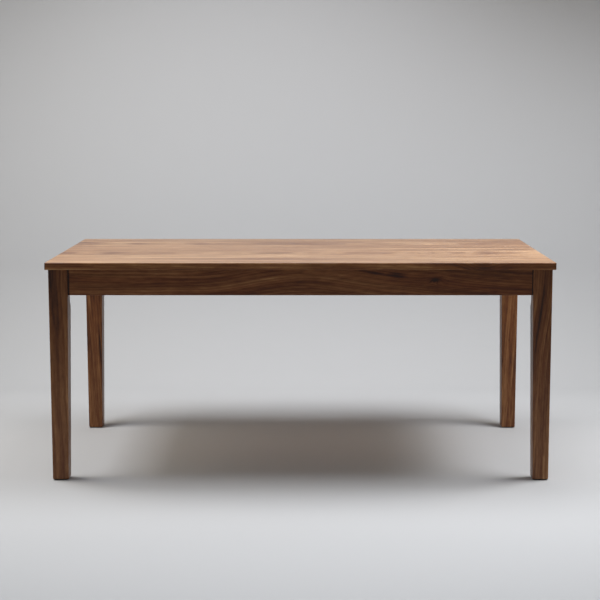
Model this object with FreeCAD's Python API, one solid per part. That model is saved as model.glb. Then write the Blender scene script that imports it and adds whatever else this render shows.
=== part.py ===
import FreeCAD, Part
import math
import os

os.makedirs("parts", exist_ok=True)

Vector = FreeCAD.Vector
origin = Vector(0, 0, 0)
along_x = Vector(1, 0, 0)
along_y = Vector(0, 1, 0)
upward = Vector(0, 0, 1)

# Overall size of the table, in millimetres
top_length = 1650.0
top_depth = 850.0
table_height = 720.0

# Top of glued boards: each board's part of the depth, front to back
top_thickness = 22.5
top_overhang = 10.5
top_corner_radius = 6.0
top_edge_radius = 1.5
board_shares = [155, 105, 100, 110, 135, 120, 125]

# Legs: plumb outside, tapered on the two inner faces from the apron down
leg_top_width = 62.0
leg_foot_width = 51.5
leg_edge_radius = 2.0
leg_foot_chamfer = 2.5

# Flat across the inner corner of each leg, and the curve by which it runs out below the apron
flat_cut = 22.0
flat_drop = 1.0
flat_runout_radius = 70.0

# Aprons
apron_height = 84.0
apron_thickness = 20.0
apron_setback = 4.0
apron_edge_radius = 1.5

# Groove along the inside of each apron, for the buttons that hold the top
groove_drop = 10.0
groove_width = 8.0
groove_depth = 8.0

# Dowels between apron ends and legs
dowel_diameter = 8.0
dowel_bite = 18.0
dowel_edge_distance = 15.0

# Bent steel corner plates
plate_thickness = 2.5
plate_gap = 12.0
plate_wing = 30.0
plate_lip = 8.0
plate_bend_radius = 2.0
plate_margin = 6.0

# Hanger bolts that pull each leg into its corner, with their washers and nuts
bolt_diameter = 8.0
bolt_bite = 38.0
bolt_tip = 6.0
bolt_tip_diameter = 2.0
bolt_tail = 5.0
bolt_edge_distance = 10.0
washer_diameter = 16.0
washer_thickness = 1.6
nut_across_flats = 13.0
nut_height = 6.5

# Wood screws with pan heads
screw_diameter = 4.0
screw_head_diameter = 8.0
screw_head_height = 2.6
screw_head_round = 1.6
screw_point = 5.0
screw_point_diameter = 0.4
screw_recess_length = 4.5
screw_recess_width = 1.1
screw_recess_depth = 1.5
plate_screw_edge_distance = 12.0
plate_screw_cover = 6.0
top_screw_cover = 8.0

# Cross rails between the long aprons
rail_count = 2
rail_thickness = 24.0
rail_height = 60.0
rail_edge_radius = 1.5
tenon_thickness = 10.0
tenon_length = 9.0
tenon_shoulder = 6.0
rail_screw_seat = 24.0
rail_slot_travel = 6.0

# Buttons
button_length = 34.0
button_width = 30.0
button_chamfer = 2.0
button_gap = 3.0
tongue_length = 6.5

# Glides under the feet
glide_diameter = 32.0
glide_thickness = 2.5
glide_edge_radius = 0.8
nail_diameter = 2.8
nail_bite = 18.0
nail_head_diameter = 7.0
nail_head_thickness = 1.0
nail_head_sink = 0.2

# Clearances
hole_clearance = 0.1
bolt_play = 1.0
screw_play = 0.5
kerf_clearance = 0.3
tongue_clearance = 0.4
end_room = 1.0
overcut = 1.0

# Levels and lines that the pieces share
under_top = table_height - top_thickness
apron_bottom = under_top - apron_height
groove_top = under_top - groove_drop
groove_bottom = groove_top - groove_width
half_length = top_length / 2 - top_overhang
half_depth = top_depth / 2 - top_overhang
apron_inside = apron_setback + apron_thickness
apron_middle = apron_setback + apron_thickness / 2
long_apron = 2 * (half_length - leg_top_width)
board_widths = [top_depth * share / sum(board_shares) for share in board_shares]
board_fronts = [sum(board_widths[:i]) - top_depth / 2 for i in range(len(board_widths))]
board_middles = [front + width / 2 for front, width in zip(board_fronts, board_widths)]
bay = long_apron / (rail_count + 1)
rail_places = [bay * (i + 1) - long_apron / 2 for i in range(rail_count)]
rail_screw_places = board_middles[1::2]
dowel_levels = [apron_bottom + dowel_edge_distance, groove_bottom - dowel_edge_distance]

# A square's diagonal over its side, and the angle between a nut's corners
diagonal_ratio = math.sqrt(2)
nut_corner_angle = math.radians(60)

# Corner plate, measured from the leg's outer corner: across the flat, then along each apron
flat_reach = (2 * leg_top_width - flat_cut) / diagonal_ratio
web_reach = flat_reach + plate_gap
wing_start = web_reach * diagonal_ratio - apron_inside
wing_end = wing_start + plate_wing
plate_bottom = apron_bottom + plate_margin
plate_top = groove_bottom - plate_margin
bolt_levels = [plate_bottom + bolt_edge_distance, plate_top - bolt_edge_distance]
plate_screw_levels = [plate_bottom + plate_screw_edge_distance, plate_top - plate_screw_edge_distance]
plate_screw_place = (wing_start + wing_end) / 2
plate_screw_bite = apron_thickness - plate_screw_cover

# The four sides: name, quarter turns from the front, distance to the legs' outer faces, reach to the corners
sides = [
    ("front", 0, half_depth, half_length),
    ("right", 1, half_length, half_depth),
    ("back", 2, half_depth, half_length),
    ("left", 3, half_length, half_depth),
]
corners = [
    ("front_left", -1, -1),
    ("front_right", 1, -1),
    ("back_left", -1, 1),
    ("back_right", 1, 1),
]


def block(x_range, y_range, z_range):
    size = [high - low for low, high in (x_range, y_range, z_range)]
    return Part.makeBox(*size, Vector(x_range[0], y_range[0], z_range[0]))


def rod(diameter, length, start, direction):
    return Part.makeCylinder(diameter / 2, length, start, direction)


def carve(solid, tools):
    return solid.cut(tools).Solids[0]


def turn_to_side(shape, quarters):
    return shape.rotated(origin, upward, 90 * quarters)


def turn_to_diagonal(shape):
    return shape.rotated(origin, upward, 45)


# A piece drawn with the leg's outer corner at the origin and the table's inside at +X and +Y
def place_in_corner(shape, side_x, side_y):
    if side_x > 0:
        shape = shape.mirror(origin, along_x)
    if side_y > 0:
        shape = shape.mirror(origin, along_y)
    return shape.translated(Vector(side_x * half_length, side_y * half_depth, 0))


def point_to(shape, place, direction):
    turned = shape.copy()
    turned.Placement = FreeCAD.Placement(place, FreeCAD.Rotation(upward, direction))
    return turned


def save(name, solids):
    shape = solids[0] if len(solids) == 1 else Part.makeCompound(solids)
    shape.exportStep(f"parts/{name}.step")


# Pan-head wood screw: seat of the head at the origin, point upwards
def make_screw(length):
    shank = rod(screw_diameter, length - screw_point, origin, upward)
    point_start = Vector(0, 0, length - screw_point)
    point = Part.makeCone(screw_diameter / 2, screw_point_diameter / 2, screw_point, point_start, upward)
    head = rod(screw_head_diameter, screw_head_height, Vector(0, 0, -screw_head_height), upward)
    rim = [edge for edge in head.Edges if edge.BoundBox.ZMax < overcut - screw_head_height]
    head = head.makeFillet(screw_head_round, rim)
    reach = screw_recess_length / 2
    half_slot = screw_recess_width / 2
    slot_z = (-screw_head_height - overcut, screw_recess_depth - screw_head_height)
    slots = [
        block((-reach, reach), (-half_slot, half_slot), slot_z),
        block((-half_slot, half_slot), (-reach, reach), slot_z),
    ]
    return carve(shank.fuse([point, head]), slots)


# Slab with eased edges, cut into its boards; pilot holes for every screw that enters it from below
def make_boards(screw_places):
    half_size = (top_length / 2, top_depth / 2)
    slab = block(*[(-half, half) for half in half_size], (under_top, table_height))
    uprights = [edge for edge in slab.Edges if edge.BoundBox.ZLength > top_thickness / 2]
    slab = slab.makeFillet(top_corner_radius, uprights)
    rims = [edge for edge in slab.Edges if edge.BoundBox.ZLength < top_thickness / 2]
    slab = slab.makeFillet(top_edge_radius, rims)
    depth = top_thickness - top_screw_cover + hole_clearance
    holes = []
    for x, y in screw_places:
        start = Vector(x, y, under_top - overcut)
        holes.append(rod(screw_diameter + hole_clearance, depth + overcut, start, upward))
    boards = []
    for front, width in zip(board_fronts, board_widths):
        strip = block((-top_length, top_length), (front, front + width), (0, 2 * table_height))
        boards.append(carve(slab.common(strip), holes))
    return boards


def rounded_square(low, high, z):
    half = (high - low) / 2
    flat = half - leg_edge_radius
    bulge = half - leg_edge_radius * (1 - 1 / diagonal_ratio)
    middle = Vector((low + high) / 2, (low + high) / 2, z)
    edges = []
    for quarter in range(4):
        turn = FreeCAD.Rotation(upward, 90 * quarter)
        start, end, bend, finish = [
            middle + turn.multVec(Vector(x, y, 0))
            for x, y in ((-flat, -half), (flat, -half), (bulge, -bulge), (half, -flat))
        ]
        edges.append(Part.LineSegment(start, end).toShape())
        edges.append(Part.Arc(end, bend, finish).toShape())
    return Part.Wire(edges)


# Cutter for the flat across a leg's inner corner, with its curved run-out below the apron
def make_flat_cutter():
    low = apron_bottom - flat_drop
    beyond = flat_cut / diagonal_ratio + overcut
    swing = math.acos(1 - beyond / flat_runout_radius)
    half_swing = swing / 2

    def runout(angle):
        out = flat_runout_radius * (1 - math.cos(angle))
        return Vector(flat_reach + out, 0, low - flat_runout_radius * math.sin(angle))

    head = Vector(flat_reach, 0, under_top + overcut)
    back = Vector(flat_reach + beyond, 0, under_top + overcut)
    outline = Part.Wire([
        Part.LineSegment(head, runout(0)).toShape(),
        Part.Arc(runout(0), runout(half_swing), runout(swing)).toShape(),
        Part.LineSegment(runout(swing), back).toShape(),
        Part.LineSegment(back, head).toShape(),
    ])
    cutter = Part.Face(outline).extrude(along_y * (2 * leg_top_width))
    return turn_to_diagonal(cutter.translated(along_y * -leg_top_width))


def leg_width_at(z):
    share = (z - glide_thickness) / (apron_bottom - glide_thickness)
    return leg_foot_width + (leg_top_width - leg_foot_width) * share


def make_leg():
    ankle = glide_thickness + leg_foot_chamfer
    sections = [
        rounded_square(leg_foot_chamfer, leg_foot_width - leg_foot_chamfer, glide_thickness),
        rounded_square(0, leg_width_at(ankle), ankle),
        rounded_square(0, leg_top_width, apron_bottom),
        rounded_square(0, leg_top_width, under_top),
    ]
    leg = Part.makeLoft(sections, True, True)
    cuts = [make_flat_cutter()]
    bolt_depth = bolt_bite + hole_clearance
    for z in bolt_levels:
        start = Vector(flat_reach - bolt_depth, 0, z)
        drill = rod(bolt_diameter + hole_clearance, bolt_depth + overcut, start, along_x)
        cuts.append(turn_to_diagonal(drill))
    dowel_start = leg_top_width - dowel_bite - end_room
    dowel_depth = dowel_bite + end_room + overcut
    for z in dowel_levels:
        drill_size = dowel_diameter + hole_clearance
        cuts.append(rod(drill_size, dowel_depth, Vector(dowel_start, apron_middle, z), along_x))
        cuts.append(rod(drill_size, dowel_depth, Vector(apron_middle, dowel_start, z), along_y))
    foot = Vector(leg_foot_width / 2, leg_foot_width / 2, glide_thickness - overcut)
    cuts.append(rod(nail_diameter + hole_clearance, nail_bite + hole_clearance + overcut, foot, upward))
    return carve(leg, cuts)


# Dowels at one corner, half in the leg and half in each of the two aprons
def make_corner_dowels():
    start = leg_top_width - dowel_bite
    dowels = []
    for z in dowel_levels:
        dowels.append(rod(dowel_diameter, 2 * dowel_bite, Vector(start, apron_middle, z), along_x))
        dowels.append(rod(dowel_diameter, 2 * dowel_bite, Vector(apron_middle, start, z), along_y))
    return dowels


# Apron at the front of the table, centred on X; the other sides are turned copies
def make_apron(distance, corner_reach, length, mortises):
    outer = apron_setback - distance
    inner = apron_inside - distance
    apron = block((-length / 2, length / 2), (outer, inner), (apron_bottom, under_top))
    lower = [
        edge for edge in apron.Edges
        if edge.BoundBox.ZMax < under_top - apron_height / 2 and edge.BoundBox.XLength > length / 2
    ]
    apron = apron.makeFillet(apron_edge_radius, lower)
    cuts = [block((-length, length), (inner - groove_depth, inner + overcut), (groove_bottom, groove_top))]
    kerf_depth = plate_lip + end_room
    kerf_width = plate_thickness + 2 * kerf_clearance
    middle = apron_middle - distance
    for side in (-1, 1):
        end = side * length / 2
        for z in dowel_levels:
            start = Vector(end + side * overcut, middle, z)
            depth = dowel_bite + end_room + overcut
            cuts.append(rod(dowel_diameter + hole_clearance, depth, start, along_x * -side))
        kerf = side * (corner_reach - wing_end - plate_thickness / 2)
        kerf_range = (kerf - kerf_width / 2, kerf + kerf_width / 2)
        cuts.append(block(kerf_range, (inner - kerf_depth, inner + overcut), (0, 2 * table_height)))
        for z in plate_screw_levels:
            start = Vector(side * (corner_reach - plate_screw_place), inner + overcut, z)
            depth = plate_screw_bite + hole_clearance + overcut
            cuts.append(rod(screw_diameter + hole_clearance, depth, start, along_y * -1))
    half_mortise = tenon_thickness / 2 + hole_clearance
    mortise_y = (inner - tenon_length - end_room, inner + overcut)
    mortise_z = (tenon_bottom - hole_clearance, tenon_top + hole_clearance)
    for x in mortises:
        cuts.append(block((x - half_mortise, x + half_mortise), mortise_y, mortise_z))
    return carve(apron, cuts)


# Bent plate: lip in the apron's kerf, wing on the apron, web across the corner, and the same again
def make_corner_plate():
    wing_bend = wing_start + plate_thickness * (diagonal_ratio - 1)
    near, far = apron_inside, apron_inside + plate_thickness
    lip_end = apron_inside - plate_lip
    outer_end = wing_end + plate_thickness
    half_outline = [
        (wing_end, lip_end), (wing_end, near), (wing_start, near),
        (outer_end, lip_end), (outer_end, far), (wing_bend, far),
    ]
    leg_side, room_side = half_outline[:3], half_outline[3:]
    outline = leg_side + [(v, u) for u, v in reversed(leg_side)]
    outline += [(v, u) for u, v in room_side] + list(reversed(room_side))
    points = [Vector(u, v, plate_bottom) for u, v in outline]
    plate = Part.Face(Part.makePolygon(points + points[:1])).extrude(upward * (plate_top - plate_bottom))
    bends = [
        (plate_thickness, (outer_end, far)),
        (plate_bend_radius + plate_thickness, (wing_start, near)),
        (plate_bend_radius, (wing_bend, far)),
    ]
    for radius, (u, v) in bends:
        folds = []
        for edge in plate.Edges:
            box = edge.BoundBox
            spots = [math.hypot(box.XMin - a, box.YMin - b) for a, b in ((u, v), (v, u))]
            if box.ZLength > plate_thickness and min(spots) < hole_clearance:
                folds.append(edge)
        plate = plate.makeFillet(radius, folds)
    cuts = []
    for z in bolt_levels:
        start = Vector(web_reach - overcut, 0, z)
        drill = rod(bolt_diameter + bolt_play, plate_thickness + 2 * overcut, start, along_x)
        cuts.append(turn_to_diagonal(drill))
    for z in plate_screw_levels:
        depth = plate_thickness + 2 * overcut
        hole = screw_diameter + screw_play
        cuts.append(rod(hole, depth, Vector(plate_screw_place, near - overcut, z), along_y))
        cuts.append(rod(hole, depth, Vector(near - overcut, plate_screw_place, z), along_x))
    return carve(plate, cuts)


def make_corner_screws():
    screw = make_screw(plate_thickness + plate_screw_bite)
    seat = apron_inside + plate_thickness
    screws = []
    for z in plate_screw_levels:
        screws.append(point_to(screw, Vector(plate_screw_place, seat, z), along_y * -1))
        screws.append(point_to(screw, Vector(seat, plate_screw_place, z), along_x * -1))
    return screws


def make_hanger_bolts():
    washer_start = web_reach + plate_thickness
    nut_end = washer_start + washer_thickness + nut_height
    start = flat_reach - bolt_bite
    shaft = nut_end + bolt_tail - start - bolt_tip
    bolts = []
    for z in bolt_levels:
        tip = Vector(start, 0, z)
        point = Part.makeCone(bolt_tip_diameter / 2, bolt_diameter / 2, bolt_tip, tip, along_x)
        bolt = point.fuse(rod(bolt_diameter, shaft, Vector(start + bolt_tip, 0, z), along_x))
        bolts.append(turn_to_diagonal(bolt.Solids[0]))
    return bolts


def make_washers():
    start = web_reach + plate_thickness
    washers = []
    for z in bolt_levels:
        disc = rod(washer_diameter, washer_thickness, Vector(start, 0, z), along_x)
        depth = washer_thickness + 2 * overcut
        hole = rod(bolt_diameter + screw_play, depth, Vector(start - overcut, 0, z), along_x)
        washers.append(turn_to_diagonal(carve(disc, [hole])))
    return washers


def make_nuts():
    start = web_reach + plate_thickness + washer_thickness
    corner = nut_across_flats / 2 / math.cos(nut_corner_angle / 2)
    nuts = []
    for z in bolt_levels:
        ring = []
        for i in range(7):
            angle = nut_corner_angle * i
            ring.append(Vector(start, corner * math.cos(angle), z + corner * math.sin(angle)))
        hexagon = Part.Face(Part.makePolygon(ring)).extrude(along_x * nut_height)
        rounding = rod(2 * corner, nut_height, Vector(start, 0, z), along_x)
        rims = [edge for edge in rounding.Edges if edge.BoundBox.XLength < nut_height / 2]
        rounding = rounding.makeChamfer(corner - nut_across_flats / 2, rims)
        reach = nut_height + 2 * overcut
        bore = rod(bolt_diameter + hole_clearance, reach, Vector(start - overcut, 0, z), along_x)
        nuts.append(turn_to_diagonal(carve(hexagon.common(rounding), [bore])))
    return nuts


# Cross rail under the top, with stub tenons in the long aprons and slots for its screws
rail_bottom = under_top - rail_height
tenon_bottom = rail_bottom + tenon_shoulder
tenon_top = groove_bottom - tenon_shoulder


def make_slot(x, y, width, z_range):
    half_travel = rail_slot_travel / 2
    slot = block((x - width / 2, x + width / 2), (y - half_travel, y + half_travel), z_range)
    ends = [rod(width, z_range[1] - z_range[0], Vector(x, y + step, z_range[0]), upward)
            for step in (-half_travel, half_travel)]
    return slot.fuse(ends)


def make_rail(x):
    reach = half_depth - apron_inside
    across = (x - rail_thickness / 2, x + rail_thickness / 2)
    rail = block(across, (-reach, reach), (rail_bottom, under_top))
    lower = [
        edge for edge in rail.Edges
        if edge.BoundBox.ZMax < under_top - rail_height / 2 and edge.BoundBox.YLength > reach
    ]
    rail = rail.makeFillet(rail_edge_radius, lower)
    tenon_across = (x - tenon_thickness / 2, x + tenon_thickness / 2)
    tenon_reach = reach + tenon_length
    tenon = block(tenon_across, (-tenon_reach, tenon_reach), (tenon_bottom, tenon_top))
    cuts = []
    seat = under_top - rail_screw_seat
    for y in rail_screw_places:
        cuts.append(make_slot(x, y, screw_diameter + screw_play, (seat - overcut, under_top + overcut)))
        cuts.append(make_slot(x, y, screw_head_diameter + bolt_play, (rail_bottom - overcut, seat)))
    return carve(rail.fuse(tenon), cuts)


# Button on the front apron at its middle: tongue in the groove, body under the top
def make_button(distance):
    inner = apron_inside - distance
    bottom = groove_bottom + tongue_clearance
    half = button_width / 2
    body_y = (inner + button_gap, inner + button_gap + button_length)
    body = block((-half, half), body_y, (bottom, under_top))
    room_edge = [
        edge for edge in body.Edges
        if edge.BoundBox.ZMax < under_top - groove_drop and edge.BoundBox.YMin > body_y[1] - overcut
    ]
    body = body.makeChamfer(button_chamfer, room_edge)
    tongue = block((-half, half), (inner - tongue_length, body_y[0] + overcut), (bottom, groove_top))
    hole_start = Vector(0, button_screw_place(distance), bottom - overcut)
    hole = rod(screw_diameter + screw_play, under_top - bottom + 2 * overcut, hole_start, upward)
    return carve(body.fuse(tongue), [hole])


def button_screw_place(distance):
    return apron_inside - distance + button_gap + button_length / 2


def make_glide():
    disc = rod(glide_diameter, glide_thickness, Vector(leg_foot_width / 2, leg_foot_width / 2, 0), upward)
    rim = [edge for edge in disc.Edges if edge.BoundBox.ZMax < glide_thickness / 2]
    disc = disc.makeFillet(glide_edge_radius, rim)
    middle = Vector(leg_foot_width / 2, leg_foot_width / 2, -overcut)
    recess_depth = nail_head_sink + nail_head_thickness + overcut
    recess = rod(nail_head_diameter + screw_play, recess_depth, middle, upward)
    hole = rod(nail_diameter + hole_clearance, glide_thickness + 2 * overcut, middle, upward)
    return carve(disc, [recess, hole])


def make_nail():
    start = Vector(leg_foot_width / 2, leg_foot_width / 2, nail_head_sink)
    head = rod(nail_head_diameter, nail_head_thickness, start, upward)
    length = glide_thickness + nail_bite - nail_head_sink
    return head.fuse(rod(nail_diameter, length, start, upward)).Solids[0]


# Where the buttons stand along each side: bay middles on the long sides, whole boards on the short ones
def button_places(quarters):
    if quarters in (0, 2):
        return [bay * (i + 0.5) - long_apron / 2 for i in range(rail_count + 1)]
    outer_boards = [board_middles[1], board_middles[-2]]
    return outer_boards if quarters == 1 else [-y for y in outer_boards]


top_screw_spots = [(x, y) for x in rail_places for y in rail_screw_places]
button_screws = []
button_screw = make_screw(table_height - top_screw_cover - groove_bottom - tongue_clearance)
for name, quarters, distance, corner_reach in sides:
    length = 2 * (corner_reach - leg_top_width)
    mortises = rail_places if quarters in (0, 2) else []
    apron = make_apron(distance, corner_reach, length, mortises)
    save(f"apron_{name}", [turn_to_side(apron, quarters)])
    button = make_button(distance)
    for number, place in enumerate(button_places(quarters), 1):
        moved = button.translated(along_x * place)
        save(f"button_{name}_{number}", [turn_to_side(moved, quarters)])
        seat = Vector(place, button_screw_place(distance), groove_bottom + tongue_clearance)
        screw = turn_to_side(button_screw.translated(seat), quarters)
        spot = FreeCAD.Rotation(upward, 90 * quarters).multVec(seat)
        top_screw_spots.append((spot.x, spot.y))
        button_screws.append(screw)
save("button_screws", button_screws)

for number, board in enumerate(make_boards(top_screw_spots), 1):
    save(f"top_board_{number}", [board])

rail_screw = make_screw(top_thickness - top_screw_cover + rail_screw_seat)
rail_screws = []
for number, x in enumerate(rail_places, 1):
    save(f"cross_rail_{number}", [make_rail(x)])
    for y in rail_screw_places:
        rail_screws.append(rail_screw.translated(Vector(x, y, under_top - rail_screw_seat)))
save("rail_screws", rail_screws)

leg = make_leg()
plate = make_corner_plate()
glide = make_glide()
fittings = {
    "apron_dowels": make_corner_dowels(),
    "plate_screws": make_corner_screws(),
    "hanger_bolts": make_hanger_bolts(),
    "hanger_washers": make_washers(),
    "hanger_nuts": make_nuts(),
    "glide_nails": [make_nail()],
}
for name, side_x, side_y in corners:
    save(f"leg_{name}", [place_in_corner(leg, side_x, side_y)])
    save(f"corner_plate_{name}", [place_in_corner(plate, side_x, side_y)])
    save(f"glide_{name}", [place_in_corner(glide, side_x, side_y)])
for name, pieces in fittings.items():
    placed = [place_in_corner(piece, side_x, side_y) for _, side_x, side_y in corners for piece in pieces]
    save(name, placed)
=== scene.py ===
import bpy
import math
from mathutils import Euler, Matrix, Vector


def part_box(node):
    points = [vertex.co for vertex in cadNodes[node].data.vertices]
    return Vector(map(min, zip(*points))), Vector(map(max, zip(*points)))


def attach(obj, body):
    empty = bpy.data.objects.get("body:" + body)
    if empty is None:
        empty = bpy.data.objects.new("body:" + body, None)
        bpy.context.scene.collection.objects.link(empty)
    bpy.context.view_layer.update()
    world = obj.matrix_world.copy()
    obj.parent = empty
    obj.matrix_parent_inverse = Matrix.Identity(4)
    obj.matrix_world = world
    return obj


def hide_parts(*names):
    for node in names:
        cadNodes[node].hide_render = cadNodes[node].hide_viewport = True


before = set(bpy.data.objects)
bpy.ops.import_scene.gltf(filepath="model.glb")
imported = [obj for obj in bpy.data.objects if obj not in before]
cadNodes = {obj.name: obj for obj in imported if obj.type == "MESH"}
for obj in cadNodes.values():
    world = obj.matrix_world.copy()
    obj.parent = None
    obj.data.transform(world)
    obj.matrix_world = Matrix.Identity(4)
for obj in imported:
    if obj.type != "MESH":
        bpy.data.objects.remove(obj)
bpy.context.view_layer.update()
print("frame loaded:", len(cadNodes), "pieces")

mmPerMetre = 1000


def metres(millimetres):
    return [size / mmPerMetre for size in millimetres]


# scale of a pattern whose features have this size
def perMetre(millimetres):
    return [mmPerMetre / size for size in millimetres]


def linearColour(hexColour):
    channels = [int(hexColour[i:i + 2], 16) / 255 for i in (1, 3, 5)]
    curved = [c / 12.92 if c <= 0.04045 else ((c + 0.055) / 1.055) ** 2.4 for c in channels]
    return (*curved, 1.0)


# adds one node: an input is a plain value, another node (its first output) or a (node, output) pair, and a
# colour ramp takes its stops as (place, colour) pairs
def addNode(tree, kind, inputs=None, stops=(), **settings):
    node = tree.nodes.new("ShaderNode" + kind)
    for name, value in settings.items():
        setattr(node, name, value)
    for socket, value in (inputs or {}).items():
        if isinstance(value, bpy.types.Node):
            tree.links.new(value.outputs[0], node.inputs[socket])
        elif isinstance(value, tuple) and isinstance(value[0], bpy.types.Node):
            tree.links.new(value[0].outputs[value[1]], node.inputs[socket])
        else:
            node.inputs[socket].default_value = value
    for i, (place, colour) in enumerate(stops):
        band = node.color_ramp.elements
        stop = band[i] if i < len(band) else band.new(1.0)
        stop.position = place
        stop.color = linearColour(colour)
    return node


# sockets of a Mix node that mixes colours
mixFactor, mixFirst, mixSecond, mixResult = 0, 6, 7, 2


def newMaterial(name):
    material = bpy.data.materials.new(name)
    material.use_nodes = True
    material.node_tree.nodes.clear()
    return material, material.node_tree


def paint(name, material):
    for slot in cadNodes[name].material_slots:
        slot.material = material


# which way the grain runs, as a turn that lays it along local X
grainTurns = {
    "x": Euler((0, 0, 0)),
    "y": Euler((0, 0, -math.pi / 2)),
    "z": Euler((0, math.pi / 2, 0)),
}

# Walnut, planed, sanded and oiled: brown heartwood in long zones and streaks that follow the growth rings,
# dark latewood lines, redder and yellower patches, open pores as short dark dashes, and a satin sheen that
# shows most at a low angle. All sizes in mm.
walnut = {
    "tones": [(0.0, "#170a04"), (0.25, "#3b1c0b"), (0.5, "#6a3d1d"), (0.72, "#8a5d37"), (1.0, "#bd8f61")],
    "redTint": (1.0, 0.86, 0.80, 1),
    "zone": (900, 24),             # colour zones: length and width
    "streak": (330, 5),            # streaks inside a zone
    "ringWidth": 8,                # growth ring where it is cut lengthwise
    "latewoodEdge": 4.0,           # a higher power makes the dark end of a ring narrower
    "fibre": (90, 2.0, 2.0),       # fibre bundles; real fibres are finer, drawn coarse enough to show
    "mottle": (45, 8, 8),          # soft short clouds where the fibres rise and dip
    "pore": (14, 0.9, 0.9),        # pores; real ones are a quarter as wide, drawn coarse enough to show
    "poreCut": (0.60, 0.72),       # noise levels between which a pore opens
    "bend": (700, 160, 160),       # slow wander of the grain
    "bendReach": 18,               # how far the grain wanders
    "zoneWeight": 0.30,            # how much each layer adds to the tone
    "streakWeight": 0.26,
    "fibreWeight": 0.16,
    "mottleWeight": 0.15,
    "latewoodWeight": -0.16,
    "poreWeight": -0.10,
    "eyeEdge": 3.0,                # a higher power draws a knot's dark eye tighter
    "jointShadeTone": -0.6,             # painted shade in the joint line at a plank's ends, for planks that have one
    "endShade": (0.34, 0.30, 0.26, 1),   # end grain drinks more oil and looks darker
    "endTurn": (0.1, 0.5),         # from a corner's first turn to the end itself; the darkening on a rounded corner is painted shade
    "roughness": 0.31,
    "roughnessSpread": 0.14,       # from one fibre to the next
    "ior": 1.5,
    "reliefDepth": 0.12,
    "reliefStrength": 0.5,
    "poreSink": 0.8,               # depth of a pore against the height of the fibres
}
seedStep = (3.7, 1.9, 2.3)         # each seed takes a plank to its own place in the noise
noiseSpan = {"From Min": 0.32, "From Max": 0.68}   # levels that are stretched to 0 and 1

# layers that follow the rings: whose size they take, detail, and a shift that keeps their noise apart
ringLayers = {"zone": ("zone", 2.0, 0), "streak": ("streak", 4.0, 5), "redness": ("zone", 1.0, 9)}
# layers that run straight along the piece: detail and roughness of their noise
straightLayers = {"fibre": (3.0, 0.6), "mottle": (3.0, 0.5), "pore": (1.0, 0.5)}

# A plank's own features, in mm from its middle and, for rings, from its pith. Swells bulge the rings, and
# have an eye where a knot shows: place (along, across, up), reach the same way, and height. Marks are single
# streaks: place (along, ring) and reach the same way. These reaches take in the whole piece.
rightAcross = 1e6
allRings = 1000
wholeLength = 5000


# the grain line is bent a little and measured outwards from the pith, then swells push the rings aside, round
# a knot or in a long arch
def growthRings(tree, look, local, seed):
    bendPlace = addNode(tree, "Mapping", {"Vector": local, "Location": seed, "Scale": perMetre(look["bend"])})
    bend = addNode(tree, "TexNoise", {"Vector": bendPlace, "Scale": 1.0, "Detail": 2.0})
    centred = addNode(tree, "VectorMath", {0: (bend, "Color"), 1: (0.5, 0.5, 0.5)}, operation="SUBTRACT")
    reach = 2 * look["bendReach"] / mmPerMetre   # the noise swings by half either way
    bent = addNode(tree, "VectorMath", {0: centred, 1: (0, reach, reach), 2: local}, operation="MULTIPLY_ADD")
    pithAcross, pithUp = metres(look["pith"])
    spoke = addNode(tree, "VectorMath", {0: bent, 1: (0, 1, 1), 2: (0, -pithAcross, -pithUp)},
                    operation="MULTIPLY_ADD")
    radius = addNode(tree, "VectorMath", {0: spoke}, operation="LENGTH")
    along = addNode(tree, "SeparateXYZ", {0: local})
    age = addNode(tree, "Math", {0: (along, "X"), 1: look["taper"], 2: (radius, "Value")},
                  operation="MULTIPLY_ADD")
    eyes = []
    for swell in look.get("swells", []):
        away = addNode(tree, "VectorMath", {0: local, 1: metres(swell["place"])}, operation="SUBTRACT")
        shrunk = addNode(tree, "VectorMath", {0: away, 1: metres(swell["reach"])}, operation="DIVIDE")
        square = addNode(tree, "VectorMath", {0: shrunk, 1: shrunk}, operation="DOT_PRODUCT")
        fall = addNode(tree, "Math", {0: (square, "Value"), 1: -1.0}, operation="MULTIPLY")
        hill = addNode(tree, "Math", {0: fall}, operation="EXPONENT")
        height = swell["height"] / mmPerMetre
        age = addNode(tree, "Math", {0: hill, 1: height, 2: age}, operation="MULTIPLY_ADD")
        if "eye" in swell:
            eyes.append((hill, swell["eye"]))
    return bent, along, age, eyes


# the layers of the figure, each from 0 to 1, and the sheet that they are drawn on: along the plank by ring
def grainLayers(tree, look, bent, along, age, seed):
    sheet = addNode(tree, "CombineXYZ", {"X": (along, "X"), "Y": age})
    layers = {"sheet": sheet}
    for layer, (sizeKey, detail, shift) in ringLayers.items():
        stretched = addNode(tree, "Mapping", {
            "Vector": sheet,
            "Location": seed + Vector((shift, shift, 0)),
            "Scale": (*perMetre(look[sizeKey]), 1),
        })
        noise = addNode(tree, "TexNoise", {"Vector": stretched, "Scale": 1.0, "Detail": detail})
        layers[layer] = addNode(tree, "MapRange", {"Value": noise, **noiseSpan})
    ringsPerMetre = mmPerMetre / look["ringWidth"]
    counted = addNode(tree, "Math", {0: age, 1: ringsPerMetre, 2: layers["streak"]}, operation="MULTIPLY_ADD")
    phase = addNode(tree, "Math", {0: counted}, operation="FRACT")
    layers["latewood"] = addNode(tree, "Math", {0: phase, 1: look["latewoodEdge"]}, operation="POWER")
    for layer, (detail, roughness) in straightLayers.items():
        scaled = addNode(tree, "Mapping", {"Vector": bent, "Location": seed, "Scale": perMetre(look[layer])})
        layers[layer] = addNode(tree, "TexNoise", {
            "Vector": scaled,
            "Scale": 1.0,
            "Detail": detail,
            "Roughness": roughness,
        })
    layers["mottle"] = addNode(tree, "MapRange", {"Value": layers["mottle"], **noiseSpan})
    shut, opened = look["poreCut"]
    layers["pore"] = addNode(tree, "MapRange", {
        "Value": layers["pore"],
        "From Min": shut,
        "From Max": opened,
    })
    return layers
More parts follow.
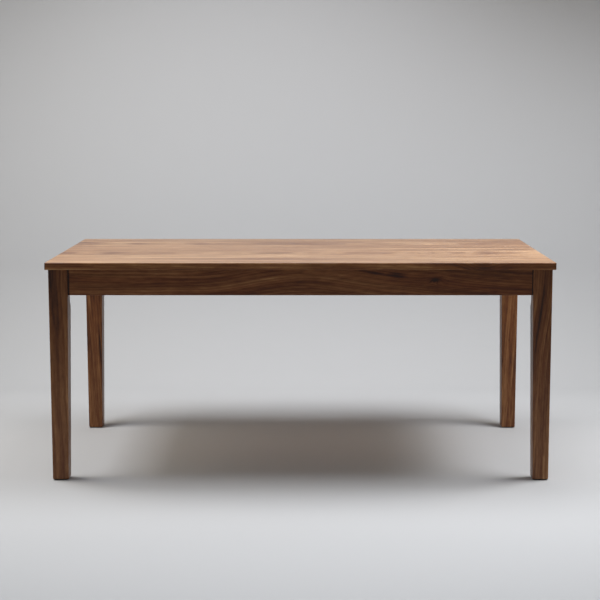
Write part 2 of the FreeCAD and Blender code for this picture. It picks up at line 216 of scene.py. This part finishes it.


# one tone value from all layers, centred on the plank's own tone, with its knots, marks and the painted shade
# in its joint lines
def plankTone(tree, look, layers, eyes, along, halfLength):
    centredLayers = ("zone", "streak", "fibre", "mottle")
    tone = look["tone"] - sum(look[layer + "Weight"] for layer in centredLayers) / 2
    for layer in (*centredLayers, "latewood", "pore"):
        weight = look[layer + "Weight"]
        tone = addNode(tree, "Math", {0: layers[layer], 1: weight, 2: tone}, operation="MULTIPLY_ADD")
    for hill, depth in eyes:
        eye = addNode(tree, "Math", {0: hill, 1: look["eyeEdge"]}, operation="POWER")
        tone = addNode(tree, "Math", {0: eye, 1: -depth, 2: tone}, operation="MULTIPLY_ADD")
    for mark in look.get("marks", []):
        spot = addNode(tree, "VectorMath", {0: layers["sheet"], 1: (*metres(mark["place"]), 0)},
                       operation="SUBTRACT")
        scaled = addNode(tree, "VectorMath", {0: spot, 1: (*perMetre(mark["reach"]), 0)},
                         operation="MULTIPLY")
        length = addNode(tree, "VectorMath", {0: scaled}, operation="LENGTH")
        fade = addNode(tree, "MapRange", {"Value": (length, "Value"), "From Min": 1.0, "From Max": 0.0},
                       interpolation_type="SMOOTHSTEP")
        tone = addNode(tree, "Math", {0: fade, 1: mark["tone"], 2: tone}, operation="MULTIPLY_ADD")
    # painted shade: a dark band at each end of the plank, where shade falls in the joint with the leg
    if "jointShadeWidth" in look:
        jointShadeWidth = look["jointShadeWidth"] / mmPerMetre
        fromMiddle = addNode(tree, "Math", {0: (along, "X")}, operation="ABSOLUTE")
        jointShadeBand = addNode(tree, "MapRange", {
            "Value": fromMiddle,
            "From Min": halfLength - jointShadeWidth,
            "From Max": halfLength - jointShadeWidth / 2,
        })
        tone = addNode(tree, "Math", {0: jointShadeBand, 1: look["jointShadeTone"], 2: tone}, operation="MULTIPLY_ADD")
    return tone


# end grain, where the face looks along the grain, darker, with painted shade on the rounded corners that turn
# to it, and long edges that look across it
def shadeEnds(tree, look, place, turn, colour):
    first, last = look["endTurn"]
    # on long edges the tint is painted, to offset the pale sheen that the lights leave there
    for tint, direction in (("endShade", Vector((1, 0, 0))), ("edgeShade", Vector((0, 1, 0)))):
        if tint in look:
            axis = turn.to_matrix().inverted() @ direction
            facing = addNode(tree, "VectorMath", {0: (place, "Normal"), 1: axis}, operation="DOT_PRODUCT")
            size = addNode(tree, "Math", {0: (facing, "Value")}, operation="ABSOLUTE")
            cover = addNode(tree, "MapRange", {"Value": size, "From Min": first, "From Max": last})
            colour = addNode(tree, "Mix", {
                mixFactor: cover,
                mixFirst: (colour, mixResult),
                mixSecond: look[tint],
            }, data_type="RGBA", blend_type="MULTIPLY")
    return colour


def oiledWalnut(name, plank):
    look = {**walnut, **plank}
    material, tree = newMaterial("oiledWalnut_" + name)
    low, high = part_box(name)
    turn = grainTurns[look["grain"]]
    middle = turn.to_matrix() @ ((low + high) / 2)
    size = turn.to_matrix() @ (high - low)
    place = addNode(tree, "TexCoord")
    local = addNode(tree, "Mapping", {
        "Vector": (place, "Object"),
        "Location": -middle,
        "Rotation": turn,
    })
    seed = Vector([look["seed"] * step for step in seedStep])
    bent, along, age, eyes = growthRings(tree, look, local, seed)
    layers = grainLayers(tree, look, bent, along, age, seed)
    tone = plankTone(tree, look, layers, eyes, along, abs(size.x) / 2)
    brown = addNode(tree, "ValToRGB", {0: tone}, stops=look["tones"])
    patched = addNode(tree, "Mix", {
        mixFactor: layers["redness"],
        mixFirst: brown,
        mixSecond: look["redTint"],
    }, data_type="RGBA", blend_type="MULTIPLY")
    shaded = shadeEnds(tree, look, place, turn, patched)
    spread = look["roughnessSpread"]
    rough = addNode(tree, "Math", {0: layers["fibre"], 1: spread, 2: look["roughness"] - spread / 2},
                    operation="MULTIPLY_ADD")
    relief = addNode(tree, "Math", {0: layers["pore"], 1: -look["poreSink"], 2: layers["fibre"]},
                     operation="MULTIPLY_ADD")
    bump = addNode(tree, "Bump", {
        "Height": relief,
        "Strength": look["reliefStrength"],
        "Distance": look["reliefDepth"] / mmPerMetre,
    })
    surface = addNode(tree, "BsdfPrincipled", {
        "Base Color": (shaded, mixResult),
        "Roughness": rough,
        "IOR": look["ior"],
        "Normal": bump,
    })
    addNode(tree, "OutputMaterial", {"Surface": surface})
    return material


# The seven boards of the top, front to back: growth-ring centre (across, up) in mm, tone and seed. The first
# shows a darker, curlier edge at the front, and the middle boards are painted paler at the right-hand end as
# painted light.
topBoards = {
    "top_board_1": {"pith": (-190, -120), "tone": 0.78, "seed": 1, "redTint": (1.0, 0.93, 0.89, 1),
                    "marks": [
                        # a darker band along the front edge: painted, to offset the pale sheen that the
                        # lights leave on it
                        {"place": (0, 158), "reach": (wholeLength, 18), "tone": -0.05},
                        {"place": (600, 182), "reach": (360, 30), "tone": -0.26},
                        {"place": (-800, 160), "reach": (120, 22), "tone": -0.30},
                    ],
                    "swells": [{"place": (590, -78, 0), "reach": (60, 26, 40), "height": 22, "eye": 0.3}]},
    "top_board_2": {"pith": (150, -150), "tone": 0.82, "seed": 2,
                    # painted light: paler at the right-hand end
                    "marks": [{"place": (800, 200), "reach": (380, allRings), "tone": 0.10}]},
    "top_board_3": {"pith": (15, -110), "tone": 0.73, "seed": 3, "taper": 0.06,
                    "marks": [
                        # painted light: paler at the right-hand end
                        {"place": (780, 150), "reach": (300, allRings), "tone": 0.14},
                        {"place": (-820, 74), "reach": (110, 10), "tone": -0.30},
                        {"place": (-660, 83), "reach": (70, 7), "tone": -0.16},
                        {"place": (20, 124), "reach": (320, 11), "tone": 0.20},
                        {"place": (545, 155), "reach": (70, 7), "tone": -0.14},
                        {"place": (640, 161), "reach": (75, 9), "tone": -0.22},
                    ]},
    "top_board_4": {"pith": (-170, -130), "tone": 0.77, "seed": 4,
                    "marks": [
                        # painted light: paler at the right-hand end
                        {"place": (810, 200), "reach": (420, allRings), "tone": 0.10},
                        {"place": (640, 208), "reach": (70, 14), "tone": -0.20},
                        {"place": (740, 247), "reach": (130, 20), "tone": -0.42},
                    ]},
    "top_board_5": {"pith": (210, -100), "tone": 0.74, "seed": 5},
    "top_board_6": {"pith": (-20, -130), "tone": 0.75, "seed": 6, "taper": -0.05,
                    "marks": [
                        {"place": (-820, 180), "reach": (150, allRings), "tone": -0.32},
                        {"place": (-590, 171), "reach": (60, 8), "tone": -0.16},
                        {"place": (-365, 161), "reach": (85, 7), "tone": -0.14},
                        {"place": (707, 114), "reach": (130, 9), "tone": -0.16},
                    ]},
    "top_board_7": {"pith": (180, -140), "tone": 0.72, "seed": 7},
}
# The top takes a paler, yellower palette than the frame, and its boards stand at higher tones: in part paler
# boards, in part painted light for the stronger light and sheen on the top.
topGrain = {
    "tones": [(0.0, "#1a0e06"), (0.25, "#3b1f0e"), (0.5, "#6a4123"), (0.72, "#8a6341"), (1.0, "#bd9872")],
    "grain": "x",
    "taper": 0.02,
    "zone": (700, 26),
    "streak": (260, 7),
    "bend": (1500, 260, 260),
    "bendReach": 12,
    "redTint": (1.0, 0.95, 0.92, 1),
    "edgeShade": (1.04, 0.86, 0.62, 1),   # long edges are tinted redder: a painted offset to the pale sheen that the lights leave on them
    "ior": 1.46,
    "zoneWeight": 0.24,
    "streakWeight": 0.22,
    "fibreWeight": 0.18,
    "marks": [                            # painted light: every board is a little paler to either side of its middle, where the lamps over the ends fall
        {"place": (-520, 150), "reach": (420, allRings), "tone": 0.035},
        {"place": (480, 150), "reach": (350, allRings), "tone": 0.025},
    ],
}
for name, board in topBoards.items():
    marks = topGrain["marks"] + board.get("marks", [])
    paint(name, oiledWalnut(name, {**topGrain, **board, "marks": marks}))

# legs, aprons and rails are sanded less finely than the top and show less sheen
frameSheen = {"roughness": 0.48, "ior": 1.38}

# The front apron has a long arch in its middle, a knot and dark patches to the right of it, and a painted
# shadow line at its left-hand joint. The others are plain.
aprons = {
    "apron_front": {"grain": "x", "pith": (-60, -160), "taper": 0.004, "tone": 0.575, "seed": 11,
                    "swells": [
                        {"place": (20, 0, 0), "reach": (240, rightAcross, rightAcross), "height": -48},
                        {"place": (760, 0, 0), "reach": (260, rightAcross, rightAcross), "height": 25},
                        {"place": (436, 0, 8), "reach": (26, 40, 12), "height": -16, "eye": 0.6},
                    ],
                    "marks": [
                        {"place": (-20, 149), "reach": (520, 6), "tone": 0.09},
                        {"place": (235, 176), "reach": (75, 8), "tone": -0.30},
                        {"place": (312, 180), "reach": (48, 13), "tone": -0.28},
                        {"place": (560, 160), "reach": (520, 500), "tone": -0.10},
                        {"place": (-330, 175), "reach": (220, 9), "tone": -0.20},
                        # painted shadow in the left-hand joint with the leg
                        {"place": (-752, 150), "reach": (8, allRings), "tone": -0.60},
                        {"place": (-560, 150), "reach": (420, allRings), "tone": 0.03},
                    ]},
    "apron_back": {"grain": "x", "pith": (50, -150), "taper": 0.01, "tone": 0.60, "seed": 12},
    "apron_left": {"grain": "y", "pith": (50, -170), "taper": 0.01, "tone": 0.60, "seed": 13},
    "apron_right": {"grain": "y", "pith": (-50, -150), "taper": 0.01, "tone": 0.60, "seed": 14},
}
apronGrain = {
    "zoneWeight": 0.20,
    "streakWeight": 0.25,
    "jointShadeWidth": 4,        # painted shade in the joint at the leg
}
for name, board in aprons.items():
    paint(name, oiledWalnut(name, {**frameSheen, **apronGrain, **board}))

# The front legs are painted darker towards the top as painted shade under the top, and paler towards the foot
# as painted light from the floor; a dark vein runs down the right-hand one.
legs = {
    "leg_front_left": {"pith": (120, 60), "tone": 0.64, "taper": 0.01, "seed": 21, "zoneWeight": 0.18,
                       "marks": [
                           # painted shade under the top, and painted light from the floor near the foot
                           {"place": (350, 150), "reach": (520, allRings), "tone": -0.12},
                           {"place": (-350, 150), "reach": (300, allRings), "tone": 0.03},
                       ]},
    "leg_front_right": {"pith": (-60, 130), "tone": 0.64, "taper": -0.01, "seed": 22, "zoneWeight": 0.22,
                        "swells": [
                            {"place": (347, 0, 0), "reach": (210, rightAcross, rightAcross), "height": -30},
                        ],
                        "marks": [
                            {"place": (200, 106), "reach": (240, 8), "tone": -0.40},
                            {"place": (260, 86), "reach": (280, 14), "tone": 0.22},
                            # painted shade under the top, and painted light from the floor near the foot
                            {"place": (350, 150), "reach": (520, allRings), "tone": -0.12},
                            {"place": (-350, 150), "reach": (420, allRings), "tone": 0.08},
                        ]},
    "leg_back_left": {"pith": (90, 100), "tone": 0.58, "taper": 0.02, "seed": 23, "streakWeight": 0.22,
                      "redTint": (1.0, 0.99, 1.0, 1),
                      "marks": [
                          {"place": (-36, 163), "reach": (120, 5), "tone": -0.30},
                          {"place": (90, 140), "reach": (220, 10), "tone": -0.14},
                          {"place": (250, 150), "reach": (350, allRings), "tone": -0.06},
                      ]},
    "leg_back_right": {"pith": (-130, 70), "tone": 0.57, "taper": -0.01, "seed": 24, "streakWeight": 0.20,
                       "marks": [
                           {"place": (200, 150), "reach": (300, allRings), "tone": 0.03},
                           {"place": (-180, 150), "reach": (260, allRings), "tone": -0.03},
                       ]},
}
legGrain = {
    "grain": "z",
    "zone": (600, 14),
    "bendReach": 9,
    "redTint": (1.0, 0.97, 0.94, 1),
    "fibre": (160, 3.5, 3.5),
    "fibreWeight": 0.24,
    "roughness": 0.42,     # hands and cloths polish the legs a little more than the aprons
    "ior": 1.40,
}
for name, board in legs.items():
    paint(name, oiledWalnut(name, {**frameSheen, **legGrain, **board}))

# The cross rails are hidden under the top and have no marks of their own.
rails = {
    "cross_rail_1": {"pith": (40, -120), "tone": 0.66, "seed": 31},
    "cross_rail_2": {"pith": (-60, -90), "tone": 0.62, "seed": 32},
}
railGrain = {
    "grain": "y",
    "taper": 0.01,
}
for name, board in rails.items():
    paint(name, oiledWalnut(name, {**frameSheen, **railGrain, **board}))
print("walnut:", len(topBoards) + len(aprons) + len(legs) + len(rails), "planks")

# Beech, planed and left bare: pale pinkish tan with faint grain and short dark ray flecks. Sizes in mm.
beech = {
    "tones": [(0.0, "#a97a52"), (0.5, "#c79a6e"), (1.0, "#dcb58c")],
    "grain": (60, 3, 3),
    "fleck": (4, 0.9, 0.9),        # ray flecks are finer, drawn coarse enough to show
    "fleckCut": (0.62, 0.70),      # noise levels between which a fleck shows
    "fleckTone": -0.3,
    "roughness": 0.62,
    "ior": 1.5,
    "reliefDepth": 0.1,
    "reliefStrength": 0.3,
}


def planedBeech(name, grain):
    material, tree = newMaterial("planedBeech_" + name)
    place = addNode(tree, "TexCoord")
    local = addNode(tree, "Mapping", {"Vector": (place, "Object"), "Rotation": grainTurns[grain]})
    stretched = addNode(tree, "Mapping", {"Vector": local, "Scale": perMetre(beech["grain"])})
    rings = addNode(tree, "TexNoise", {"Vector": stretched, "Scale": 1.0, "Detail": 4.0, "Distortion": 0.6})
    dotted = addNode(tree, "Mapping", {"Vector": local, "Scale": perMetre(beech["fleck"])})
    speckle = addNode(tree, "TexNoise", {"Vector": dotted, "Scale": 1.0, "Detail": 1.0})
    faint, full = beech["fleckCut"]
    fleck = addNode(tree, "MapRange", {"Value": speckle, "From Min": faint, "From Max": full})
    tone = addNode(tree, "Math", {0: fleck, 1: beech["fleckTone"], 2: rings}, operation="MULTIPLY_ADD")
    tan = addNode(tree, "ValToRGB", {0: tone}, stops=beech["tones"])
    bump = addNode(tree, "Bump", {
        "Height": rings,
        "Strength": beech["reliefStrength"],
        "Distance": beech["reliefDepth"] / mmPerMetre,
    })
    surface = addNode(tree, "BsdfPrincipled", {
        "Base Color": tan,
        "Roughness": beech["roughness"],
        "IOR": beech["ior"],
        "Normal": bump,
    })
    addNode(tree, "OutputMaterial", {"Surface": surface})
    return material


beechAlongX = planedBeech("alongX", "x")
beechAlongY = planedBeech("alongY", "y")
for name in cadNodes:
    if name.startswith(("button_front", "button_back")):
        paint(name, beechAlongY)
    elif name.startswith(("button_left", "button_right")) or name == "apron_dowels":
        paint(name, beechAlongX)

# Steel, stamped or turned and then zinc plated: bright bluish grey, a soft satin gloss that the plating bath
# leaves slightly cloudy, with a faint warm cast in places. Sizes in mm.
zinc = {
    "tones": [(0.0, "#a9abad"), (0.55, "#c3c6c9"), (1.0, "#d2d0c6")],
    "cloud": 14,
    "cloudSpan": (0.3, 0.7),       # noise levels that the roughness runs between
    "roughness": (0.26, 0.46),
    "frost": 0.8,                  # plating crystals are finer, drawn coarse enough to show
    "frostDepth": 0.02,
    "frostStrength": 0.4,
}


def zincPlatedSteel():
    material, tree = newMaterial("zincPlatedSteel")
    place = addNode(tree, "TexCoord")
    cloud = addNode(tree, "TexNoise", {
        "Vector": (place, "Object"),
        "Scale": mmPerMetre / zinc["cloud"],
        "Detail": 3.0,
        "Distortion": 0.5,
    })
    frost = addNode(tree, "TexNoise", {
        "Vector": (place, "Object"),
        "Scale": mmPerMetre / zinc["frost"],
        "Detail": 2.0,
    })
    grey = addNode(tree, "ValToRGB", {0: cloud}, stops=zinc["tones"])
    rough = addNode(tree, "MapRange", {
        "Value": cloud,
        "From Min": zinc["cloudSpan"][0],
        "From Max": zinc["cloudSpan"][1],
        "To Min": zinc["roughness"][0],
        "To Max": zinc["roughness"][1],
    })
    bump = addNode(tree, "Bump", {
        "Height": frost,
        "Strength": zinc["frostStrength"],
        "Distance": zinc["frostDepth"] / mmPerMetre,
    })
    surface = addNode(tree, "BsdfPrincipled", {
        "Base Color": grey,
        "Metallic": 1.0,
        "Roughness": rough,
        "Normal": bump,
    })
    addNode(tree, "OutputMaterial", {"Surface": surface})
    return material


zincPlate = zincPlatedSteel()
steelGroups = ("hanger_bolts", "hanger_washers", "hanger_nuts", "plate_screws", "rail_screws",
               "button_screws", "glide_nails")
for name in cadNodes:
    if name.startswith("corner_plate") or name in steelGroups:
        paint(name, zincPlate)

# Hanger bolts with their threads cut: a coarse wood thread behind the point, a plain neck, and a fine machine
# thread that the nut runs on. They lie on the axes of the plain bolts that they stand for. Sizes in mm.
hangerBolt = {
    "diameter": 8.0,
    "point": 6.0,          # length of the point
    "pointDiameter": 2.0,
    "leastCore": 0.6,      # how thin the thread leaves the point, as a share of its radius
    "neck": (33.0, 37.0),  # plain stretch, measured from the point's end
    "woodPitch": 3.2,
    "woodDepth": 1.2,
    "machinePitch": 1.25,
    "machineDepth": 0.7,
    "chamfer": 0.8,
    "sides": 20,
    "stepsPerTurn": 8,
    "sharpAngle": 40,      # degrees; edges that turn more stay sharp
}


# distance from the axis at a place along the bolt and a share of a turn round it
def boltRadius(along, turn, length):
    full = hangerBolt["diameter"] / 2
    tip = hangerBolt["pointDiameter"] / 2
    neckStart, neckEnd = hangerBolt["neck"]
    crest = min(full, tip + (full - tip) * along / hangerBolt["point"],
                full - hangerBolt["chamfer"] + length - along)
    if along < neckStart:
        pitch, depth, runOut = hangerBolt["woodPitch"], hangerBolt["woodDepth"], neckStart - along
    else:
        pitch, depth, runOut = hangerBolt["machinePitch"], hangerBolt["machineDepth"], along - neckEnd
    groove = 1 - abs(2 * ((along / pitch - turn) % 1) - 1)
    cut = depth * groove * max(0, min(1, runOut / pitch))
    return max(crest - cut, tip * hangerBolt["leastCore"])


# where the rings of points lie along a bolt: in even steps down both threads, with none on the neck
def boltPlaces(length):
    neckStart, neckEnd = hangerBolt["neck"]
    woodStep = hangerBolt["woodPitch"] / hangerBolt["stepsPerTurn"]
    machineStep = hangerBolt["machinePitch"] / hangerBolt["stepsPerTurn"]
    places = [woodStep * i for i in range(int(neckStart / woodStep) + 1)]
    places += [neckEnd + machineStep * i for i in range(int((length - neckEnd) / machineStep))]
    return places + [length]


# adds the points and faces of one bolt, which runs inwards from the end of its point
def addBolt(points, faces, start, inward, length):
    sides = hangerBolt["sides"]
    places = boltPlaces(length)
    across = inward.cross(Vector((0, 0, 1)))
    first = len(points)
    for place in places:
        for i in range(sides):
            angle = 2 * math.pi * i / sides
            spoke = across * math.cos(angle) + inward.cross(across) * math.sin(angle)
            reach = boltRadius(place, i / sides, length) / mmPerMetre
            points.append(start + inward * (place / mmPerMetre) + spoke * reach)
    for row in range(len(places) - 1):
        for i in range(sides):
            here = first + row * sides + i
            beside = first + row * sides + (i + 1) % sides
            faces.append((here, beside, beside + sides, here + sides))
    last = len(points) - sides
    faces.append(tuple(first + i for i in reversed(range(sides))))
    faces.append(tuple(last + i for i in range(sides)))


# two bolts at each leg, found from the box round all the plain ones, which their points' rims touch
def threadHangerBolts():
    low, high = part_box("hanger_bolts")
    radius = hangerBolt["diameter"] / 2 / mmPerMetre
    rimReach = hangerBolt["pointDiameter"] / 2 / mmPerMetre * math.sqrt(0.5)
    plainPoints = [vertex.co for vertex in cadNodes["hanger_bolts"].data.vertices]
    points, faces = [], []
    for sideX in (-1, 1):
        for sideY in (-1, 1):
            inward = Vector((-sideX, -sideY, 0)).normalized()
            corner = Vector((sideX * (high.x - rimReach), sideY * (high.y - rimReach), 0))
            ours = [point for point in plainPoints if point.x * sideX > 0 and point.y * sideY > 0]
            length = max((point - corner).dot(inward) for point in ours) * mmPerMetre
            for level in (low.z + radius, high.z - radius):
                addBolt(points, faces, corner + Vector((0, 0, level)), inward, length)
    mesh = bpy.data.meshes.new("hanger_bolt_threads")
    mesh.from_pydata(points, [], faces)
    mesh.polygons.foreach_set("use_smooth", [True] * len(faces))
    mesh.set_sharp_from_angle(angle=math.radians(hangerBolt["sharpAngle"]))
    mesh.materials.append(zincPlate)
    bolts = bpy.data.objects.new("hanger_bolt_threads", mesh)
    bpy.context.scene.collection.objects.link(bolts)
    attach(bolts, "root")
    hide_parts("hanger_bolts")
    print("hanger bolts threaded:", len(faces), "faces")


threadHangerBolts()

# Nylon, injection moulded: dark brown, a dull even gloss with a fine spark-eroded texture. Sizes in mm.
nylon = {
    "tones": [(0.0, "#1d1512"), (1.0, "#32261f")],
    "grit": 0.7,                   # mould texture is finer, drawn coarse enough to show
    "gritDepth": 0.04,
    "gritStrength": 0.5,
    "roughness": 0.5,
    "ior": 1.53,
}


def mouldedNylon():
    material, tree = newMaterial("mouldedNylon")
    place = addNode(tree, "TexCoord")
    grit = addNode(tree, "TexNoise", {
        "Vector": (place, "Object"),
        "Scale": mmPerMetre / nylon["grit"],
        "Detail": 2.0,
    })
    darkBrown = addNode(tree, "ValToRGB", {0: grit}, stops=nylon["tones"])
    bump = addNode(tree, "Bump", {
        "Height": grit,
        "Strength": nylon["gritStrength"],
        "Distance": nylon["gritDepth"] / mmPerMetre,
    })
    surface = addNode(tree, "BsdfPrincipled", {
        "Base Color": darkBrown,
        "Roughness": nylon["roughness"],
        "IOR": nylon["ior"],
        "Normal": bump,
    })
    addNode(tree, "OutputMaterial", {"Surface": surface})
    return material


footNylon = mouldedNylon()
for name in cadNodes:
    if name.startswith("glide_") and name not in steelGroups:
        paint(name, footNylon)
print("hardware: beech, zinc-plated steel and nylon painted")

# Stage: a pale floor all round and a wall that curves up from it behind the table. The wall is seen from its
# front only, and far from the table the floor fades into the plain background. Sizes in m.
stage = {
    "colour": "#c0c0c2",
    "roughness": 0.9,
    "specular": 0.2,
    "background": "#b0b0b2",
    "worldLight": 0.01,    # what the background adds to the lamps
    "wallStart": 1.1,      # where the floor starts to curve up, behind the middle of the table
    "curve": 0.5,          # radius of the curve
    "wallTop": 5.0,
    "reach": 12.0,         # floor to the front, the sides and beyond the wall
    "fade": (1.8, 3.8),    # distance from the table over which the floor fades out
    "flat": 0.0002,        # anything higher belongs to the curve
    "curveSteps": 24,
}


# Paint, rolled and matt: an even pale grey with hardly any gloss. Any side turned away is clear, and so is
# the curve once a view has passed the wall. For the camera the far floor gives way to the background, and
# no floor shows through the wall as that fades. Light passes the wall, so that the floor behind it is lit.
def studioPaint():
    material, tree = newMaterial("mattPaint")
    paintSurface = addNode(tree, "BsdfPrincipled", {
        "Base Color": linearColour(stage["colour"]),
        "Roughness": stage["roughness"],
        "Specular IOR Level": stage["specular"],
    })
    seeThrough = addNode(tree, "BsdfTransparent")
    side = addNode(tree, "NewGeometry")
    path = addNode(tree, "LightPath")
    level = addNode(tree, "VectorMath", {0: (side, "Position"), 1: (1, 1, 0)}, operation="MULTIPLY")
    away = addNode(tree, "VectorMath", {0: level}, operation="LENGTH")
    near, far = stage["fade"]
    distant = addNode(tree, "MapRange", {"Value": (away, "Value"), "From Min": near, "From Max": far},
                      interpolation_type="SMOOTHSTEP")
    position = addNode(tree, "SeparateXYZ", {0: (side, "Position")})
    raised = addNode(tree, "Math", {0: (position, "Z"), 1: stage["flat"]}, operation="GREATER_THAN")
    passed = addNode(tree, "Math", {0: raised, 1: (path, "Transparent Depth")}, operation="MULTIPLY")
    beyond = addNode(tree, "Math", {0: (position, "Y"), 1: stage["wallStart"]}, operation="GREATER_THAN")
    once = addNode(tree, "Math", {0: (path, "Transparent Depth"), 1: 1.0, 2: 0.5},
                   operation="COMPARE")   # one clear surface passed
    covered = addNode(tree, "Math", {0: beyond, 1: once, 2: distant}, operation="MULTIPLY_ADD")
    given = addNode(tree, "Math", {0: covered, 1: passed}, operation="MAXIMUM")
    forCamera = addNode(tree, "Math", {0: given, 1: (path, "Is Camera Ray")}, operation="MULTIPLY",
                        use_clamp=True)
    hidden = addNode(tree, "Math", {0: (side, "Backfacing"), 1: forCamera}, operation="MAXIMUM")
    clear = addNode(tree, "Math", {0: hidden, 1: (path, "Is Shadow Ray")}, operation="MAXIMUM")
    both = addNode(tree, "MixShader", {0: clear, 1: paintSurface, 2: seeThrough})
    addNode(tree, "OutputMaterial", {"Surface": both})
    return material


def makeStage():
    reach, start, curve = stage["reach"], stage["wallStart"], stage["curve"]
    line = []
    for i in range(stage["curveSteps"] + 1):
        angle = math.pi / 2 * i / stage["curveSteps"]
        line.append((start + curve * math.sin(angle), curve * (1 - math.cos(angle))))
    line.append((start + curve, stage["wallTop"]))
    points = [(side * reach, y, z) for y, z in line for side in (-1, 1)]
    faces = [(2 * i, 2 * i + 1, 2 * i + 3, 2 * i + 2) for i in range(len(line) - 1)]
    corner = len(points)
    points += [(-reach, -reach, 0), (reach, -reach, 0), (reach, reach, 0), (-reach, reach, 0)]
    faces.append((corner, corner + 1, corner + 2, corner + 3))
    mesh = bpy.data.meshes.new("studioCove")
    mesh.from_pydata(points, [], faces)
    mesh.polygons.foreach_set("use_smooth", [True] * len(faces))
    mesh.materials.append(studioPaint())
    cove = bpy.data.objects.new("studioCove", mesh)
    bpy.context.scene.collection.objects.link(cove)


makeStage()

# Studio lights: cool softboxes over both ends and the middle of the table, lower and warmer ones at the sides
# that reach under it, a faint one under the top for the glow of the wood, two over the floor in front and one
# turned to the wall; place and aim in m, power in W, spread in degrees. Those without glare don't show in the
# sheen of the wood.
coolWhite = "#f7fbff"
warmWhite = "#fcf3e0"
woodGlow = "#ffcb95"
fullSpread = 180
softboxes = {
    "softboxLeft": {"place": (-1.35, -0.2, 1.95), "aim": (-1.35, -0.2, 0), "size": (0.5, 0.9), "power": 24.5,
                    "colour": coolWhite},
    "softboxRight": {"place": (1.5, -0.25, 1.9), "aim": (1.4, -0.4, 0), "size": (0.6, 0.9), "power": 34.5,
                     "colour": coolWhite},
    "softboxLeftLow": {"place": (-2.0, -0.1, 1.8), "aim": (-0.4, 0, 0.3), "size": (0.9, 1.2), "power": 18,
                       "colour": warmWhite, "glare": False},
    "softboxRightLow": {"place": (2.0, -0.1, 1.8), "aim": (0.4, 0, 0.3), "size": (0.9, 1.2), "power": 11,
                        "colour": warmWhite, "glare": False},
    "softboxMiddle": {"place": (0.2, 0.02, 1.8), "aim": (0.2, 0.02, 0), "size": (1.5, 0.65), "power": 15.2,
                      "colour": coolWhite},
    "softboxUnder": {"place": (0, 0.2, 0.58), "aim": (0, 0.2, 0), "size": (1.0, 0.3), "power": 0.3,
                     "colour": woodGlow, "glare": False},
    "softboxFront": {"place": (0, -2.4, 2.2), "aim": (0, -2.4, 0), "size": (2.4, 0.9), "power": 7,
                     "colour": coolWhite, "spread": 130},
    "softboxFloor": {"place": (0, -1.45, 2.2), "aim": (0, -1.45, 0), "size": (2.4, 0.6), "power": 2.5,
                     "colour": coolWhite, "spread": 60},
    "softboxWall": {"place": (-0.2, 0.3, 2.4), "aim": (-0.2, 1.6, 1.4), "size": (1.8, 0.5), "power": 8,
                    "colour": coolWhite, "spread": 120},
}
for name, box in softboxes.items():
    lamp = bpy.data.lights.new(name, "AREA")
    lamp.shape = "RECTANGLE"
    lamp.size, lamp.size_y = box["size"]
    lamp.energy = box["power"]
    lamp.color = linearColour(box["colour"])[:3]
    lamp.spread = math.radians(box.get("spread", fullSpread))
    light = bpy.data.objects.new(name, lamp)
    light.location = box["place"]
    direction = Vector(box["aim"]) - Vector(box["place"])
    light.rotation_euler = direction.to_track_quat("-Z", "Y").to_euler()
    light.visible_camera = False
    light.visible_glossy = box.get("glare", True)
    bpy.context.scene.collection.objects.link(light)

# Dim world that gives almost no light; the camera and reflections see the pale background instead
world = bpy.data.worlds.new("dimStudio")
bpy.context.scene.world = world
world.use_nodes = True
sky = world.node_tree
sky.nodes.clear()
worldLight = stage["worldLight"]
dim = addNode(sky, "Background", {"Color": (worldLight, worldLight, worldLight, 1)})
pale = addNode(sky, "Background", {"Color": linearColour(stage["background"])})
path = addNode(sky, "LightPath")
seen = addNode(sky, "Math", {0: (path, "Is Camera Ray"), 1: (path, "Is Glossy Ray")}, operation="MAXIMUM")
seenOrThrough = addNode(sky, "Math", {0: seen, 1: (path, "Is Transmission Ray")}, operation="MAXIMUM")
backdrop = addNode(sky, "MixShader", {0: seenOrThrough, 1: dim, 2: pale})
addNode(sky, "OutputWorld", {"Surface": backdrop})
print("stage and lights ready")

# Camera at the photograph's viewpoint
view = {
    "place": (0.0327, -5.0105, 1.2177),   # m
    "lookDown": 7.6695,                   # degrees
    "lens": 86.033,                       # mm
    "sensor": 36,                         # mm
    "shiftX": -0.01754,
}
lens = bpy.data.cameras.new("camera")
lens.lens = view["lens"]
lens.sensor_width = view["sensor"]
lens.shift_x = view["shiftX"]
camera = bpy.data.objects.new("camera", lens)
camera.location = view["place"]
camera.rotation_euler = (math.radians(90 - view["lookDown"]), 0, 0)
bpy.context.scene.collection.objects.link(camera)
bpy.context.scene.camera = camera
bpy.context.scene.view_settings.view_transform = "Standard"
